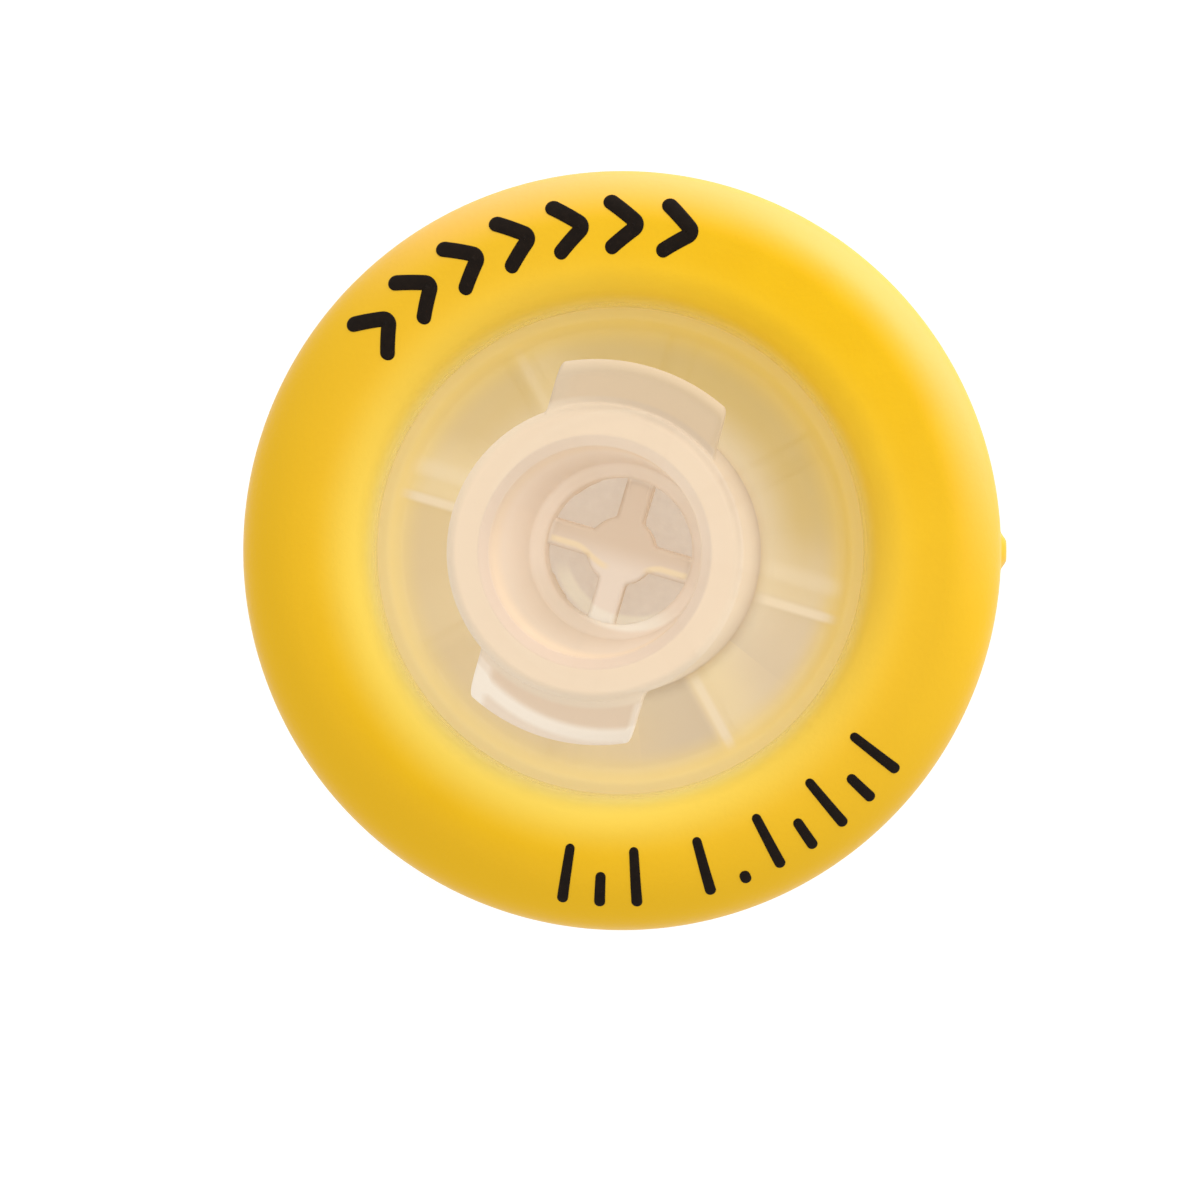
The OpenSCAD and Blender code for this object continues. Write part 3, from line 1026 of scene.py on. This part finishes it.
# A fainter second painted light line beside the ribs.
second_glint = on_roof * natural.near(natural.towards(rib_turn + math.pi / 2), 0.55, 0.03, 0.28)
window = natural.mix(0.35 * second_glint, window, shown(255, 234, 196))
window = natural.mix(natural.z < roof_z + 0.05, window, shown(250, 236, 210))
print("window with its ribs: %d nodes so far" % len(natural.tree.nodes))

# %% [markdown]
# ## The hub, its port and its lugs
# The hub is a thick cream. Its bore is lit from above and through the wall, less towards the floor; its
# colour is painted paler for that light, lighter on the lamp's side and across the lamp, with painted shade
# on the far side. The outer wall is painted darker on the lamp's side and paler across it. The port's edge
# carries a painted highlight on the far side, a crescent that falls across the floor, the web and the
# membrane alike. The lugs carry painted light too: their crests are pale, the far one widest and brightest,
# and the crest on the lamp's side is painted darker.

# %% Colour the hub and its bore
in_hub = natural.step(natural.z, clamp_z, roof_z)
inside = in_hub * (1 - natural.step(natural.z, mouth_z - 3, mouth_z - 0.3))
inside = inside * (1 - natural.step(natural.r, 2.05, 2.2))
outside_wall = hub_mask * natural.step(natural.r, 2.78, 2.95)
# Painted light and shade: the hub's outer wall is darker on the lamp's side and paler on the far side and
# across the lamp.
wall = natural.mix(far, shown(213, 191, 164), shown(236, 217, 192))
wall = natural.mix(crossing * crossing * above, wall, shown(250, 228, 198))
cream = natural.mix(outside_wall, shown(249, 224, 193), wall)
# Painted shade: the lead-in's face is darker on the far side.
lead_in_face = in_hub * natural.near(natural.r, 2.25, 0.08, 0.06)
cream = natural.mix(lead_in_face, cream, natural.mix(far, shown(247, 224, 198), shown(226, 200, 176)))
# Painted light in the bore: paler than the mouth, lighter on the lamp's side and across the lamp, darker on
# the far side.
inner = natural.mix(far, shown(252, 233, 211), shown(232, 213, 190))
cream = natural.mix(inside, cream, natural.mix(crossing, inner, shown(254, 234, 212)))
print("hub and bore: %d nodes so far" % len(natural.tree.nodes))

# %% Colour the web and the port
on_web = natural.near(natural.z, web_top_z, 0.08, 0.08) * (1 - natural.step(natural.r, 1.5, 1.6))
# Painted light and shade on the web: lighter on the side away from the lamp, darker towards it.
past_bar = natural.step(natural.towards(down_side), -0.2, 0.5)
cream = natural.mix(on_web, cream, natural.mix(past_bar, shown(233, 210, 185), shown(250, 233, 215)))
# Painted highlight: the port's bright crescent.
port_light = in_hub * natural.crescent() * (1 - natural.step(natural.z, bore_floor_z, bore_floor_z + 0.3))
cream = natural.mix(port_light, cream, shown(255, 244, 226))
from_bar = natural.towards(rib_turn + math.pi / 2)
along_bar = natural.towards(rib_turn)
# Painted highlight: a bright line along each bar of the web, bending round the boss.
bend = -0.14 - 0.27 * (1 - natural.step(abs(along_bar), 0.2, 1.0))
bar_glint = on_web * natural.near(from_bar - bend, 0, 0.02, 0.09)
bar_glint = bar_glint * (1 - natural.near(along_bar, 0.22, 0.3, 0.25))

# %% Colour the lugs
lug_mask = above * natural.step(natural.r, 3.1, 3.2)
along_lug = natural.towards(lug_turn + math.pi / 2)
crest_r = natural.r + far * (0.2 + 0.26 * natural.facing(math.radians(160)))
crest = natural.step(crest_r, 3.58, 3.74) * (1 - 0.6 * far * natural.step(crest_r, 3.86, 4.0))
ends = natural.step(along_lug, 1.3, 1.5) + natural.step(0 - along_lug, 1.56, 1.66)
lug_edges = lug_mask * at_most_one(crest + 0.6 * ends)
# Painted light: the lugs' crests and ends are pale, brightest and widest on the far lug, and darker on the
# lamp's side.
lug = natural.mix(lug_edges, natural.mix(far, shown(220, 195, 162), shown(233, 208, 181)),
                  natural.mix(far, shown(209, 184, 149), shown(255, 241, 222)))

# %% Put the milky finish together
colour = natural.mix(hub_mask, window, cream)
colour = natural.mix(lug_mask, colour, lug)
# Painted highlight: the bright lines of the ribs and of the web's bars.
colour = natural.mix(at_most_one(rib_glint + bar_glint), colour, shown(255, 233, 195))
alpha = 0.85 + 0.07 * hub_mask - 0.14 * outside_wall * (1 - lug_edges)
natural.paint(Base_Color=colour, Alpha=alpha * (1 - 0.82 * natural.carries_light()),
              Roughness=0.45 + 0.1 * natural.noise(2.5))
natural.bump(natural.noise(4.0, 2.0), 0.004)
natural.cover(inlet)
natural.cover(outlet)

# %% [markdown]
# ## Nylon membrane
# The membrane is matt white nylon, cast on a web of fibres, so it has the faint cloudiness of filter paper.
# Its weave is far too fine to see. The port's painted crescent of light falls on it too, in the pockets of
# the web.

# %% Finish the membrane
nylon = Finish("nylon_membrane", Roughness=0.85, Specular_IOR_Level=0.2)
fibres = nylon.mix(nylon.noise(5.0, 4.0), shown(238, 222, 204), shown(248, 234, 216))
# Painted highlight: the port's crescent on the membrane.
nylon.paint(Base_Color=nylon.mix(nylon.crescent(), fibres, shown(255, 243, 220)))
nylon.bump(nylon.noise(14.0, 3.0), 0.01)
nylon.cover(membrane)

# %% [markdown]
# ## The table
# The part stands on a white table. The table is lit like the part, and for the camera, mirrors and clear
# walls it also glows a little, which makes it read as white without putting more light on the part. The
# soft shadow stays, because only the lit part of the white is missing there.

# %% Set the table
table_data = bpy.data.meshes.new("table")
table_half = 0.5
table_data.from_pydata([(-table_half, -table_half, 0), (table_half, -table_half, 0),
                        (table_half, table_half, 0), (-table_half, table_half, 0)], [], [(0, 1, 2, 3)])
table = bpy.data.objects.new("table", table_data)
scene.collection.objects.link(table)

table_grey = (0.88, 0.88, 0.88, 1)
board = Finish("table_white", Base_Color=table_grey, Roughness=0.9, Specular_IOR_Level=0.1,
               Emission_Strength=1.0)
seen = at_most_one(board.ray("Is Camera Ray") + board.ray("Is Glossy Ray") + board.ray("Is Transmission Ray"))
table_glow = 0.3
board.paint(Emission_Color=board.mix(seen, (0, 0, 0, 1), (table_glow, table_glow, table_glow, 1)))
board.cover(table)
